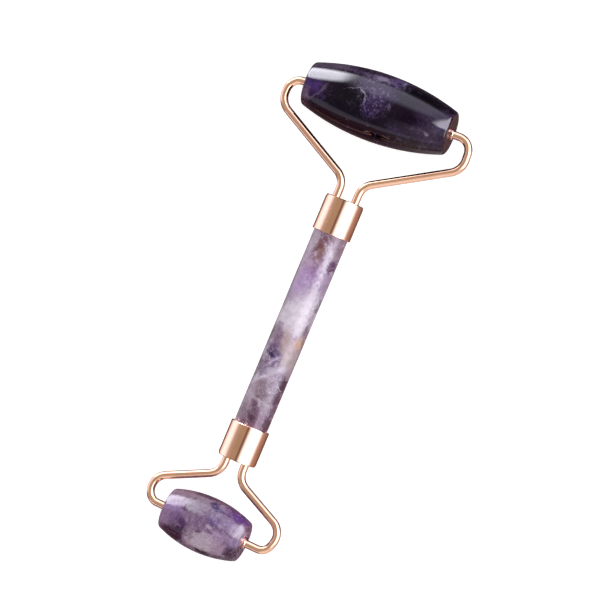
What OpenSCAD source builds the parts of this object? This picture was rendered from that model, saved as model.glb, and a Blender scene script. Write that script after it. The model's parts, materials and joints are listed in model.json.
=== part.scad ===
// Double-ended stone face roller.
//
// A stone handle is glued into a metal ferrule at each end. Two bent wire arms leave each
// ferrule and reach round to a barrel-shaped stone roller, which turns freely on their
// inturned ends in two metal bushes.
//
// Frame: the origin is the middle of the handle. +Y runs along the handle to the large
// roller, +X runs along the roller axles, and +Z is up when the tool lies on its rollers.
// Millimetres.

/* [Handle] */
// Length of stone that shows between the two ferrules
handle_len = 58.2; // [40:0.1:90]
// Diameter of the stone at the large roller's ferrule
handle_d_large = 10.1; // [9.8:0.1:14]
// Diameter of the stone at the small roller's ferrule
handle_d_small = 9.8; // [8:0.1:10.1]

/* [Ferrules] */
// Length of each ferrule
ferrule_len = 10.5; // [8:0.1:16]
// Thickness of the ferrule's round wall
ferrule_wall = 0.5; // [0.4:0.05:1]
// Thickness of the end wall that the arms pass through
ferrule_floor = 1.6; // [1:0.1:2.5]
// Edge round at the end wall
ferrule_round = 0.6; // [0.2:0.1:1]

/* [Wire arms] */
// Diameter of the wire
wire_d = 2.3; // [1.8:0.05:2.6]
// Distance of each arm's foot from the middle of the pair
foot_offset = 2.85; // [2.4:0.05:2.9]

/* [Large yoke] */
// Height of the first bend's corner above the ferrule
large_knee_y = 5.4; // [4:0.1:6]
// Half-width of the yoke at its widest corner
large_elbow_x = 27.8; // [27:0.1:32]
// Height of the widest corner above the ferrule
large_elbow_y = 19.4; // [17:0.1:20]
// Half-width of the yoke at the corner where the wire turns in
large_wrist_x = 27.4; // [27:0.1:30]
// Height of the axle above the ferrule
large_axle_y = 27.5; // [27:0.1:32]
// Centreline radius of the bend above the ferrule
large_knee_r = 5.0; // [3:0.1:6]
// Centreline radius of the bend at the widest corner
large_elbow_r = 5.2; // [3:0.1:6]
// Centreline radius of the bend that turns in to the axle
large_wrist_r = 3.9; // [3:0.1:4.3]
// Sideways lean of the yoke, in degrees anticlockwise
large_lean = 1.4; // [0.5:0.1:3]
// Angle of the axle to the X axis, in degrees anticlockwise
large_axle_angle = 2.5; // [0:0.1:3]
// Sideways shift of the yoke
large_shift = 0.1; // [-1:0.05:1]

/* [Small yoke] */
// Height of the first bend's corner above the ferrule
small_knee_y = 4.9; // [4:0.1:5]
// Half-width of the yoke at its widest corner
small_elbow_x = 20.5; // [20:0.1:24]
// Height of the widest corner above the ferrule
small_elbow_y = 13.4; // [12:0.1:13.5]
// Half-width of the yoke at the corner where the wire turns in
small_wrist_x = 18.2; // [18:0.1:22]
// Height of the axle above the ferrule
small_axle_y = 20.1; // [20:0.1:24]
// Centreline radius of the bend above the ferrule
small_knee_r = 5.1; // [3:0.1:5.5]
// Centreline radius of the bend at the widest corner
small_elbow_r = 4.6; // [3:0.1:4.8]
// Centreline radius of the bend that turns in to the axle
small_wrist_r = 3.2; // [2.6:0.1:3.4]
// Sideways lean of the yoke, in degrees anticlockwise
small_lean = 0.4; // [-2:0.1:1.5]
// Angle of the axle to the X axis, in degrees anticlockwise
small_axle_angle = -1.0; // [-1.5:0.1:2]
// Sideways shift of the yoke
small_shift = 0.5; // [-1:0.05:1]

/* [Large roller stone] */
// Length along the axle
large_stone_len = 43.4; // [40:0.1:44]
// Diameter at the middle
large_stone_belly_d = 19.6; // [17:0.1:24]
// Diameter at the ends
large_stone_end_d = 12.4; // [10:0.1:14]
// How far the stone has slid along its axle from the middle
large_stone_slide = -0.6; // [-0.7:0.1:0.7]

/* [Small roller stone] */
// Length along the axle
small_stone_len = 24.2; // [20:0.1:26]
// Diameter at the middle
small_stone_belly_d = 16.2; // [14:0.1:20]
// Diameter at the ends
small_stone_end_d = 11.6; // [9:0.1:13]
// How far the stone has slid along its axle from the middle
small_stone_slide = 0.7; // [-0.7:0.1:0.7]

/* [Bushes] */
// Outside diameter of the bush in each end of a stone
bush_d = 3.2; // [3:0.1:3.6]
// Length of the bush inside the stone
bush_len = 5.5; // [4:0.1:6.5]
// How far the bush stands out of the stone's end face
bush_proud = 0.8; // [0.3:0.1:1]
// Radial clearance of the wire in the bush
bush_clearance = 0.05; // [0.02:0.01:0.1]

/* [Hidden] */
// Facets of a full circle in a preview, and of the long arc along a barrel's side
$fn = 96;
arc_fn = 360;
// How far a cutting shape reaches past what it cuts
over = 1;
// Gap left between two pieces that touch
touch = 0.01;
// Radial thickness of the glue between the handle's large end and its ferrule
glue_line = 0.1;
// Radial thickness of the glue around a bush
bush_glue_line = 0.1;
// Radial play of the wire in the ferrule's two holes
foot_play = 0.05;
// Growth of the wire's diameter where it is bent
bend_swell = 0.01;
// Length by which a straight run enters the bend next to it
bend_lap = 0.1;
// How far an arm's foot and its solder stand above the inside of the end wall
foot_inside = 1.2;
solder_h = 0.8;
solder_d = 4;
// Thickness of the glue between the feet and the end of the handle
glue_pad = 0.3;
// Edge breaks
handle_chamfer = 0.4;
rim_round = 0.15;
stone_round = 0.8;
hole_flare = 0.25;
bush_round = 0.15;
// Depth of the blind hole in each end of a stone beyond its bush
hole_beyond_bush = 1;
// Length of wire inside the stone
stub_in_stone = 4.8;

ferrule_bore = handle_d_large + 2 * glue_line;
ferrule_d = ferrule_bore + 2 * ferrule_wall;
ferrule_face_y = handle_len / 2 + ferrule_len;
foot_depth = ferrule_floor + foot_inside;
handle_inset = ferrule_len - foot_depth - glue_pad;

// Indices into a yoke's list of dimensions
KNEE_Y = 0;
ELBOW = 1;
WRIST_X = 2;
AXLE_Y = 3;
BENDS = 4;
LEAN = 5;
AXLE_ANGLE = 6;
SHIFT = 7;
SLIDE = 8;
STONE_LEN = 9;

large_yoke = [
    large_knee_y, [large_elbow_x, large_elbow_y], large_wrist_x, large_axle_y,
    [large_knee_r, large_elbow_r, large_wrist_r],
    large_lean, large_axle_angle, large_shift, large_stone_slide, large_stone_len
];
small_yoke = [
    small_knee_y, [small_elbow_x, small_elbow_y], small_wrist_x, small_axle_y,
    [small_knee_r, small_elbow_r, small_wrist_r],
    small_lean, small_axle_angle, small_shift, small_stone_slide, small_stone_len
];

// Plane geometry

function turned(p, angle) = [
    p.x * cos(angle) - p.y * sin(angle),
    p.x * sin(angle) + p.y * cos(angle)
];
function heading(a, b) = atan2(b.y - a.y, b.x - a.x);
// Turn from run ab to run bc, anticlockwise positive, within half a circle
function turn_at(a, b, c) =
    let (raw = heading(b, c) - heading(a, b))
    raw > 180 ? raw - 360 : raw < -180 ? raw + 360 : raw;
// Length that a bend of radius r takes from each run at corner b
function bend_trim(a, b, c, r) = r * tan(abs(turn_at(a, b, c)) / 2);

// Yoke geometry, with the ferrule's outer face at y = 0 and the axle towards +Y

function axle_centre(yoke) = turned([0, yoke[AXLE_Y]], yoke[LEAN]) + [yoke[SHIFT], 0];
function stone_centre(yoke) = axle_centre(yoke) + turned([yoke[SLIDE], 0], yoke[AXLE_ANGLE]);
// Corners of one arm's centreline from foot to axle end; side is -1 or 1
function arm_corners(yoke, side) =
    let (
        foot_x = side * foot_offset,
        elbow = [side * yoke[ELBOW].x, yoke[ELBOW].y],
        stub_end = side * (yoke[STONE_LEN] / 2 - stub_in_stone) + yoke[SLIDE]
    )
    [
        [foot_x, -foot_depth],
        [foot_x, yoke[KNEE_Y]],
        turned(elbow, yoke[LEAN]) + [yoke[SHIFT], 0],
        axle_centre(yoke) + turned([side * yoke[WRIST_X], 0], yoke[AXLE_ANGLE]),
        axle_centre(yoke) + turned([stub_end, 0], yoke[AXLE_ANGLE])
    ];

// Shared shapes

// Turns a profile drawn in the XY plane round the Y axis
module round_y() {
    rotate([-90, 0, 0])
        rotate_extrude()
            children();
}

// A straight run of wire between two points, reaching bend_lap into the bend at each end
module wire_run(from, to, lap_from, lap_to) {
    length = norm(to - from);
    translate([from.x, from.y, 0])
        rotate([0, 0, heading(from, to)])
            translate([-lap_from, 0, 0])
                rotate([0, 90, 0])
                    cylinder(h = length + lap_from + lap_to, d = wire_d);
}

// A bend of centreline radius r at corner b
module wire_bend(a, b, c, r) {
    angle = turn_at(a, b, c);
    side = sign(angle);
    start = b - bend_trim(a, b, c, r) * turned([1, 0], heading(a, b));
    centre = start + side * r * turned([0, 1], heading(a, b));
    from_angle = heading(a, b) - side * 90 + min(angle, 0);
    translate([centre.x, centre.y, 0])
        rotate([0, 0, from_angle])
            rotate_extrude(angle = abs(angle))
                translate([r, 0])
                    circle(d = wire_d + bend_swell);
}

// One wire arm: straight runs joined by a bend at each inner corner
module wire_arm(corners, bends) {
    last = len(corners) - 1;
    trims = [
        for (i = [0:last])
            i == 0 || i == last
                ? 0
                : bend_trim(corners[i - 1], corners[i], corners[i + 1], bends[i - 1])
    ];
    for (i = [0:last - 1]) {
        along = turned([1, 0], heading(corners[i], corners[i + 1]));
        wire_run(
            corners[i] + trims[i] * along,
            corners[i + 1] - trims[i + 1] * along,
            i == 0 ? 0 : bend_lap,
            i == last - 1 ? 0 : bend_lap
        );
    }
    for (i = [1:last - 1])
        wire_bend(corners[i - 1], corners[i], corners[i + 1], bends[i - 1]);
}

module yoke_arm(yoke, side) {
    wire_arm(arm_corners(yoke, side), yoke[BENDS]);
}

// The pair of foot positions on the ferrule's end wall
module at_feet() {
    for (side = [-1, 1])
        translate([side * foot_offset, 0, 0])
            children();
}

// Places a yoke and its roller at the large end
module at_large_end() {
    translate([0, ferrule_face_y, 0])
        children();
}

// Places a yoke and its roller at the small end, half a turn round
module at_small_end() {
    rotate([0, 0, 180])
        translate([0, ferrule_face_y, 0])
            children();
}

// Places a shape drawn about the axle's X axis at the middle of the stone
module at_stone(yoke) {
    centre = stone_centre(yoke);
    translate([centre.x, centre.y, 0])
        rotate([0, 0, yoke[AXLE_ANGLE]])
            children();
}

// Metal ferrule: a cup with two holes in its end wall, outer face at y = 0
module ferrule() {
    difference() {
        round_y()
            difference() {
                union() {
                    translate([0, -ferrule_len])
                        square([ferrule_d / 2 - rim_round, ferrule_len]);
                    translate([0, -ferrule_len + rim_round])
                        square([ferrule_d / 2, ferrule_len - rim_round - ferrule_round]);
                    translate([ferrule_d / 2 - rim_round, -ferrule_len + rim_round])
                        circle(r = rim_round);
                }
                ferrule_corner();
                translate([-over, -ferrule_len - over])
                    square([over + ferrule_bore / 2, over + ferrule_len - ferrule_floor]);
            }
        at_feet()
            rotate([90, 0, 0])
                translate([0, 0, -over])
                    cylinder(h = ferrule_floor + 2 * over, d = wire_d + 2 * foot_play);
    }
}

// What the edge round takes off the ferrule's profile at its end wall
module ferrule_corner() {
    difference() {
        translate([ferrule_d / 2 - ferrule_round, -ferrule_round])
            square(2 * ferrule_round);
        translate([ferrule_d / 2 - ferrule_round, -ferrule_round])
            circle(r = ferrule_round);
    }
}

// Solder rings that hold the two feet to the inside of the end wall
module solder_rings() {
    at_feet()
        translate([0, -ferrule_floor - touch, 0])
            rotate([90, 0, 0])
                difference() {
                    cylinder(h = solder_h, d1 = solder_d, d2 = solder_d - solder_h);
                    translate([0, 0, -over])
                        cylinder(h = solder_h + 2 * over, d = wire_d + 2 * touch);
                }
}

// Glue that fills a ferrule around a handle end of diameter d and over the feet
module handle_glue(d) {
    pad_y = -ferrule_floor - touch;
    solder_end = ferrule_floor + touch + solder_h;
    difference() {
        translate([0, pad_y, 0])
            rotate([90, 0, 0])
                cylinder(
                    h = ferrule_len - ferrule_floor - 2 * touch,
                    d = ferrule_bore - 2 * touch
                );
        translate([0, -foot_depth - glue_pad + touch, 0])
            rotate([90, 0, 0])
                cylinder(h = ferrule_len, d = d + 2 * touch);
        at_feet() {
            translate([0, over, 0])
                rotate([90, 0, 0])
                    cylinder(h = over + foot_depth + touch, d = wire_d + 2 * touch);
            translate([0, over, 0])
                rotate([90, 0, 0])
                    cylinder(h = over + solder_end + touch, d = solder_d + 2 * touch);
        }
    }
}

// Barrel profile: an arc of the belly, cut by a round-edged rectangle
module barrel_profile(length, belly_d, end_d) {
    rise = (belly_d - end_d) / 2;
    arc_r = (pow(length / 2, 2) + pow(rise, 2)) / (2 * rise);
    intersection() {
        translate([belly_d / 2 - arc_r, 0])
            circle(r = arc_r, $fn = arc_fn);
        translate([0, -length / 2])
            square([belly_d, length]);
    }
}

// Round-edged envelope that a barrel's ends are polished to
module polished_envelope(length, belly_d, end_d) {
    inner_r = end_d / 2 - stone_round;
    half = length / 2;
    union() {
        translate([0, -half])
            square([inner_r, length]);
        for (end = [-1, 1])
            translate([inner_r, end * (half - stone_round)])
                circle(r = stone_round);
        translate([0, -half + stone_round])
            square([belly_d, length - 2 * stone_round]);
    }
}

// Flared blind hole in the end of a stone at +X
module bush_hole(length) {
    hole_d = bush_d + 2 * bush_glue_line;
    hole_depth = bush_len + hole_beyond_bush;
    translate([length / 2, 0, 0])
        rotate([0, 90, 0]) {
            translate([0, 0, -hole_depth])
                cylinder(h = hole_depth + over, d = hole_d);
            translate([0, 0, -hole_flare])
                cylinder(h = 2 * hole_flare, d1 = hole_d, d2 = hole_d + 4 * hole_flare);
        }
}

// Roller stone about the X axis, with a blind hole for a bush in each end
module roller_stone(length, belly_d, end_d) {
    difference() {
        rotate([0, 0, -90])
            round_y()
                intersection() {
                    barrel_profile(length, belly_d, end_d);
                    polished_envelope(length, belly_d, end_d);
                }
        for (side = [0, 180])
            rotate([0, 0, side])
                bush_hole(length);
    }
}

// Moves a shape drawn about +X at a stone's end face to the end on the given side
module at_stone_end(length, side) {
    rotate([0, 0, side > 0 ? 0 : 180])
        translate([length / 2, 0, 0])
            rotate([0, 90, 0])
                children();
}

// Metal bush in the end of a stone, standing a little proud of its face
module roller_bush(length, side) {
    at_stone_end(length, side)
        difference() {
            union() {
                translate([0, 0, -bush_len])
                    cylinder(h = bush_len + bush_proud - bush_round, d = bush_d);
                translate([0, 0, bush_proud - bush_round])
                    cylinder(h = bush_round, d1 = bush_d, d2 = bush_d - 2 * bush_round);
            }
            translate([0, 0, -bush_len - over])
                cylinder(h = bush_len + bush_proud + 2 * over, d = wire_d + 2 * bush_clearance);
        }
}

// Sleeves of glue around the two bushes of a stone
module bush_glue(length) {
    for (side = [-1, 1])
        at_stone_end(length, side)
            translate([0, 0, -bush_len])
                difference() {
                    cylinder(h = bush_len - hole_flare, d = bush_d + 2 * (bush_glue_line - touch));
                    translate([0, 0, -over])
                        cylinder(h = bush_len + 2 * over, d = bush_d + 2 * touch);
                }
}

// Sub-parts

module handle_rod() {
    half = handle_len / 2;
    r_small = handle_d_small / 2;
    r_large = handle_d_large / 2;
    color("#b9a3c4")
        round_y()
            polygon([
                [0, -half - handle_inset],
                [r_small - handle_chamfer, -half - handle_inset],
                [r_small, -half - handle_inset + handle_chamfer],
                [r_small, -half],
                [r_large, half],
                [r_large, half + handle_inset - handle_chamfer],
                [r_large - handle_chamfer, half + handle_inset],
                [0, half + handle_inset]
            ]);
}

module large_ferrule() {
    color("#d9a27e")
        at_large_end() ferrule();
}

module small_ferrule() {
    color("#d9a27e")
        at_small_end() ferrule();
}

module large_arm_left() {
    color("#cf9474")
        at_large_end() yoke_arm(large_yoke, -1);
}

module large_arm_right() {
    color("#cf9474")
        at_large_end() yoke_arm(large_yoke, 1);
}

// The small end stands half a turn round, so its left arm is the one on the +X side there
module small_arm_left() {
    color("#cf9474")
        at_small_end() yoke_arm(small_yoke, 1);
}

module small_arm_right() {
    color("#cf9474")
        at_small_end() yoke_arm(small_yoke, -1);
}

module large_solder() {
    color("#b8b8bc")
        at_large_end() solder_rings();
}

module small_solder() {
    color("#b8b8bc")
        at_small_end() solder_rings();
}

module large_handle_glue() {
    color("#e6dfc4")
        at_large_end() handle_glue(handle_d_large);
}

module small_handle_glue() {
    color("#e6dfc4")
        at_small_end() handle_glue(handle_d_small);
}

module large_stone() {
    color("#2c1b3d")
        at_large_end()
            at_stone(large_yoke)
                roller_stone(large_stone_len, large_stone_belly_d, large_stone_end_d);
}

module small_stone() {
    color("#6e4f86")
        at_small_end()
            at_stone(small_yoke)
                roller_stone(small_stone_len, small_stone_belly_d, small_stone_end_d);
}

module large_bush_left() {
    color("#e3b8a4")
        at_large_end() at_stone(large_yoke) roller_bush(large_stone_len, -1);
}

module large_bush_right() {
    color("#e3b8a4")
        at_large_end() at_stone(large_yoke) roller_bush(large_stone_len, 1);
}

module small_bush_left() {
    color("#e3b8a4")
        at_small_end() at_stone(small_yoke) roller_bush(small_stone_len, 1);
}

module small_bush_right() {
    color("#e3b8a4")
        at_small_end() at_stone(small_yoke) roller_bush(small_stone_len, -1);
}

module large_bush_glue() {
    color("#e6dfc4")
        at_large_end() at_stone(large_yoke) bush_glue(large_stone_len);
}

module small_bush_glue() {
    color("#e6dfc4")
        at_small_end() at_stone(small_yoke) bush_glue(small_stone_len);
}

handle_rod();
large_ferrule();
small_ferrule();
large_arm_left();
large_arm_right();
small_arm_left();
small_arm_right();
large_solder();
small_solder();
large_handle_glue();
small_handle_glue();
large_stone();
small_stone();
large_bush_left();
large_bush_right();
small_bush_left();
small_bush_right();
large_bush_glue();
small_bush_glue();
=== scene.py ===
import json
import math

import bmesh
import bpy
from mathutils import Matrix, Vector


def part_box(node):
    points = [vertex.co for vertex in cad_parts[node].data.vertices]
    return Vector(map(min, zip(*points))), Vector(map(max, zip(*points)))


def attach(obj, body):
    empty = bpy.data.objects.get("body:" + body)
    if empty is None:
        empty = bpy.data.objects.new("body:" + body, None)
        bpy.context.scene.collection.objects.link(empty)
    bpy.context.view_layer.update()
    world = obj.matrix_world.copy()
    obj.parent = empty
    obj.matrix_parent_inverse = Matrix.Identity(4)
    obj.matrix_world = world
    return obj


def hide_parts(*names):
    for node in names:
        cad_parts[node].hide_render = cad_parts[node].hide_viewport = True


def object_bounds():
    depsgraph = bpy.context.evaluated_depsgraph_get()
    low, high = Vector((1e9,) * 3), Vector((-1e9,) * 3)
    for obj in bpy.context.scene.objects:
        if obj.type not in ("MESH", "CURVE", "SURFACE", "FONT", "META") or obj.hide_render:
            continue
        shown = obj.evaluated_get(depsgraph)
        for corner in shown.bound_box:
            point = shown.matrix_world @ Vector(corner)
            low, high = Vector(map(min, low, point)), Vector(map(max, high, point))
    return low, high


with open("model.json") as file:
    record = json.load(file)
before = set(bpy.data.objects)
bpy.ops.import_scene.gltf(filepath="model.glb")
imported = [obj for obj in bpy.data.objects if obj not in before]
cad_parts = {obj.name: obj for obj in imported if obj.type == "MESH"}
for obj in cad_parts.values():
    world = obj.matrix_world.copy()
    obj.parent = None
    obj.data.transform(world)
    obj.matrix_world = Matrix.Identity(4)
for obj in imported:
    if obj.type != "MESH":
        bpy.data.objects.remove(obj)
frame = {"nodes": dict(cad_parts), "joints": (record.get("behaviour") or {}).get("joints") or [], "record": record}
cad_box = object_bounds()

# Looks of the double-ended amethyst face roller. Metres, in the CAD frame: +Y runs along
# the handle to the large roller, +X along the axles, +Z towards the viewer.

MM = 0.001
WHITE = (1, 1, 1, 1)


# Node building

def feed(tree, socket, value):
    """Links a socket, or sets it to a plain value."""
    if isinstance(value, bpy.types.NodeSocket):
        tree.links.new(value, socket)
    else:
        socket.default_value = value


def node(tree, kind, inputs=None, **settings):
    """A new node with its settings and its inputs, which are links or plain values."""
    made = tree.nodes.new(kind)
    for name, value in settings.items():
        setattr(made, name, value)
    for key, value in (inputs or {}).items():
        feed(tree, made.inputs[key], value)
    return made


def calc(tree, operation, a, b=0.0, c=0.0):
    made = node(tree, "ShaderNodeMath", {0: a, 1: b, 2: c}, operation=operation)
    return made.outputs[0]


def vector_calc(tree, operation, a, b):
    made = node(tree, "ShaderNodeVectorMath", {0: a, 1: b}, operation=operation)
    return made.outputs[0]


def shade(tree, look, factor):
    """look made darker or lighter by a factor."""
    made = node(tree, "ShaderNodeVectorMath", {0: look, "Scale": factor}, operation="SCALE")
    return made.outputs[0]


def turned_about_z(tree, place, degrees):
    inputs = {"Vector": place, "Angle": math.radians(degrees)}
    return node(tree, "ShaderNodeVectorRotate", inputs, rotation_type="Z_AXIS").outputs[0]


def mix(tree, share, a, b):
    """Colour a where share is 0, b where it is 1."""
    made = node(tree, "ShaderNodeMix", {0: share, 6: a, 7: b}, data_type="RGBA")
    return made.outputs[2]


def mix_shaders(tree, share, a, b):
    """Shader a where share is 0, b where it is 1."""
    return node(tree, "ShaderNodeMixShader", {0: share, 1: a, 2: b}).outputs[0]


def ramp_between(tree, value, start, end, low=0.0, high=1.0):
    """Changes smoothly from low to high as value goes from start to end."""
    inputs = {"Value": value, "From Min": start, "From Max": end, "To Min": low, "To Max": high}
    made = node(tree, "ShaderNodeMapRange", inputs, interpolation_type="SMOOTHSTEP")
    return made.outputs["Result"]


def colour(red, green, blue):
    """A screen colour, 0 to 255, as linear light with an alpha."""
    return tuple((c / 255) ** 2.2 for c in (red, green, blue)) + (1.0,)


def noise(tree, place, size, detail=4.0, rough=0.55, warp=0.0):
    """Cloudy noise whose features are about size millimetres across; Fac is 0 to 1."""
    inputs = {
        "Vector": place, "Scale": 1 / size, "Detail": detail, "Roughness": rough, "Distortion": warp,
    }
    return node(tree, "ShaderNodeTexNoise", inputs)


def new_material(name):
    """A node material with a Principled shader linked to its output."""
    material = bpy.data.materials.new(name)
    material.use_nodes = True
    tree = material.node_tree
    tree.nodes.clear()
    shader = node(tree, "ShaderNodeBsdfPrincipled")
    node(tree, "ShaderNodeOutputMaterial", {"Surface": shader.outputs[0]})
    return material, tree, shader


def set_shader(tree, shader, values):
    """Feeds the shader's inputs by their names."""
    for name, value in values.items():
        feed(tree, shader.inputs[name], value)


def local_mm(tree):
    """The piece's own coordinates in millimetres."""
    place = node(tree, "ShaderNodeTexCoord").outputs["Object"]
    return vector_calc(tree, "MULTIPLY", place, (1 / MM, 1 / MM, 1 / MM))


# Stone
#
# Zones and patches of mist are ellipses on a stone's surface, one to a row and painted in order:
#   zone: along, degrees, half length, half width, tilt, softness of the edge, strength, tint
#   mist: along, degrees, half length, half width, size of its puffs, strength, tint
# Along is millimetres from the stone's middle, towards +X on the rollers and towards the small
# roller on the handle. Degrees go round from the side that faces +Z, towards +Y on the rollers
# and towards +X on the handle. Tilt is in degrees, anticlockwise as seen from outside.
#
# A stone's mottle holds the size of its clouds and of its grain, the grain's depth, how far its
# zones' edges wander (edge) and how torn they are (ragged), and its ground's colours by noise
# value. All sizes, widths and spacings of a stone's pattern are millimetres.

EDGE_SHAKES = ((1.0, 0.7), (0.45, 0.4), (0.18, 0.22))  # size and amount, times a stone's "edge"
QUARTZ_IOR = 1.55
POLISH_WAVES = {"size_mm": 3.0, "strength": 0.25, "height_m": 0.00003}
STONE_SHINE_TINT = (0.96, 0.94, 1.0, 1.0)


def surface_place(tree, place, radius):
    """Millimetres along the stone's axis, and round it from the side that faces its own +Z."""
    parts = node(tree, "ShaderNodeSeparateXYZ", {0: place})
    angle = calc(tree, "ARCTAN2", parts.outputs[1], parts.outputs[2])
    around = calc(tree, "MULTIPLY", angle, radius)
    return node(tree, "ShaderNodeCombineXYZ", {0: parts.outputs[0], 1: around}).outputs[0]


def shaken(tree, place, source, size, amount):
    """place pushed about by noise, so that zone edges look grown rather than drawn."""
    push = noise(tree, source, size, detail=5.0, rough=0.6).outputs["Color"]
    push = vector_calc(tree, "SUBTRACT", push, (0.5, 0.5, 0.5))
    push = vector_calc(tree, "MULTIPLY", push, (amount, amount, 0))
    return vector_calc(tree, "ADD", place, push)


def zone(tree, place, ragged, radius, along, degrees, long, wide, tilt=0.0, soft=0.6):
    """1 inside a ragged ellipse on the stone's surface, 0 outside."""
    around = math.radians(degrees) * radius
    moved = vector_calc(tree, "SUBTRACT", place, (along, around, 0))
    turned = turned_about_z(tree, moved, -tilt)
    scaled = vector_calc(tree, "MULTIPLY", turned, (1 / long, 1 / wide, 0))
    reach = node(tree, "ShaderNodeVectorMath", {0: scaled}, operation="LENGTH").outputs["Value"]
    reach = calc(tree, "ADD", reach, ragged)
    return ramp_between(tree, reach, 1 - soft, 1 + soft, 1.0, 0.0)


def mottled(tree, place, mottle):
    """The stone's cloudy ground, the same in kind all round."""
    clouds = noise(tree, place, mottle["size"], detail=7.0, rough=0.64, warp=0.6).outputs["Fac"]
    bands = node(tree, "ShaderNodeValToRGB", {0: clouds})
    stops = bands.color_ramp.elements
    for index, (position, tint) in enumerate(mottle["stops"]):
        stop = stops[index] if index < 2 else stops.new(position)
        stop.position = position
        stop.color = tint
    return bands.outputs["Color"]


def with_zones(tree, look, place, radius, mottle, zones, mist):
    """look with the zones over it, then the patches of mist."""
    flat = surface_place(tree, place, radius)
    edge = mottle["edge"]
    loose = flat
    for size, amount in EDGE_SHAKES:
        loose = shaken(tree, loose, place, edge * size, edge * amount)
    ragged = noise(tree, place, edge / 2, detail=6.0, rough=0.7).outputs["Fac"]
    ragged = calc(tree, "MULTIPLY", calc(tree, "SUBTRACT", ragged, 0.5), mottle["ragged"])

    for (along, degrees, long, wide, tilt, soft, strength, tint) in zones:
        mask = zone(tree, loose, ragged, radius, along, degrees, long, wide, tilt, soft)
        look = mix(tree, calc(tree, "MULTIPLY", mask, strength), look, tint)

    for (along, degrees, long, wide, size, strength, tint) in mist:
        mask = zone(tree, flat, ragged, radius, along, degrees, long, wide)
        puffs = noise(tree, place, size, detail=7.0, rough=0.72, warp=0.4).outputs["Fac"]
        puffs = calc(tree, "MULTIPLY", ramp_between(tree, puffs, 0.5, 0.66), strength)
        look = mix(tree, calc(tree, "MULTIPLY", mask, puffs), look, tint)
    return look


def with_wisps(tree, look, place, wisps):
    """look with drawn-out streaks at a slant, some lighter and some darker."""
    drawn_out = (1.0, 0.3, 1.0)
    slanted = turned_about_z(tree, place, wisps["tilt"])
    slanted = vector_calc(tree, "MULTIPLY", slanted, drawn_out)
    drawn = noise(tree, slanted, wisps["size"], detail=6.0, rough=0.66, warp=0.8).outputs["Fac"]
    light = ramp_between(tree, drawn, 0.52, 0.72, 0.0, wisps["strength"])
    dark = ramp_between(tree, drawn, 0.28, 0.48, 1 - wisps["strength"] * 0.8, 1.0)
    return shade(tree, mix(tree, light, look, wisps["tint"]), dark)


def with_veins(tree, look, place, vein):
    """look with thin wandering lines, where noise crosses its middle value, in some places."""
    value = noise(tree, place, vein["size"], detail=3.0, rough=0.5, warp=1.5).outputs["Fac"]
    off = calc(tree, "ABSOLUTE", calc(tree, "SUBTRACT", value, 0.5))
    lines = ramp_between(tree, off, 0.0, vein["width"], 1.0, 0.0)
    patches = noise(tree, place, vein["size"] * 1.7, detail=2.0).outputs["Fac"]
    lines = calc(tree, "MULTIPLY", lines, ramp_between(tree, patches, 0.5, 0.65))
    return mix(tree, calc(tree, "MULTIPLY", lines, vein["strength"]), look, vein["tint"])


def with_specks(tree, look, place, specks):
    """look with small pale dots, gathered in some places."""
    dots = node(tree, "ShaderNodeTexVoronoi", {"Vector": place, "Scale": 1 / specks["spacing"]})
    dots = ramp_between(tree, dots.outputs["Distance"], 0.0, specks["size"], 1.0, 0.0)
    chosen = noise(tree, place, specks["spacing"] * 3, detail=1.0).outputs["Fac"]
    dots = calc(tree, "MULTIPLY", dots, ramp_between(tree, chosen, 0.52, 0.62))
    return mix(tree, calc(tree, "MULTIPLY", dots, specks["strength"]), look, specks["tint"])


def stone_material(name, radius, mottle, zones, mist, wisps, vein, specks, polish):
    """Polished amethyst: a mottled ground, zones and mist over it, then wisps, fine cloudiness,
    veins and specks."""
    material, tree, shader = new_material(name)
    place = local_mm(tree)
    look = mottled(tree, place, mottle)
    look = with_zones(tree, look, place, radius, mottle, zones, mist)
    look = with_wisps(tree, look, place, wisps)

    grain = noise(tree, place, mottle["grain"], detail=7.0, rough=0.7).outputs["Fac"]
    depth = mottle["depth"]
    look = shade(tree, look, ramp_between(tree, grain, 0.3, 0.7, 1 - depth, 1 + depth))

    look = with_veins(tree, look, place, vein)
    look = with_specks(tree, look, place, specks)

    waves = noise(tree, place, POLISH_WAVES["size_mm"], detail=2.0).outputs["Fac"]
    bump = node(tree, "ShaderNodeBump", {
        "Height": waves, "Strength": POLISH_WAVES["strength"], "Distance": POLISH_WAVES["height_m"],
    })
    set_shader(tree, shader, {
        "Base Color": look,
        "Roughness": ramp_between(tree, grain, 0.3, 0.7, *polish["rough"]),
        "IOR": QUARTZ_IOR,
        "Specular IOR Level": polish["level"],
        "Specular Tint": STONE_SHINE_TINT,
        "Normal": bump.outputs[0],
    })
    return material


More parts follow.
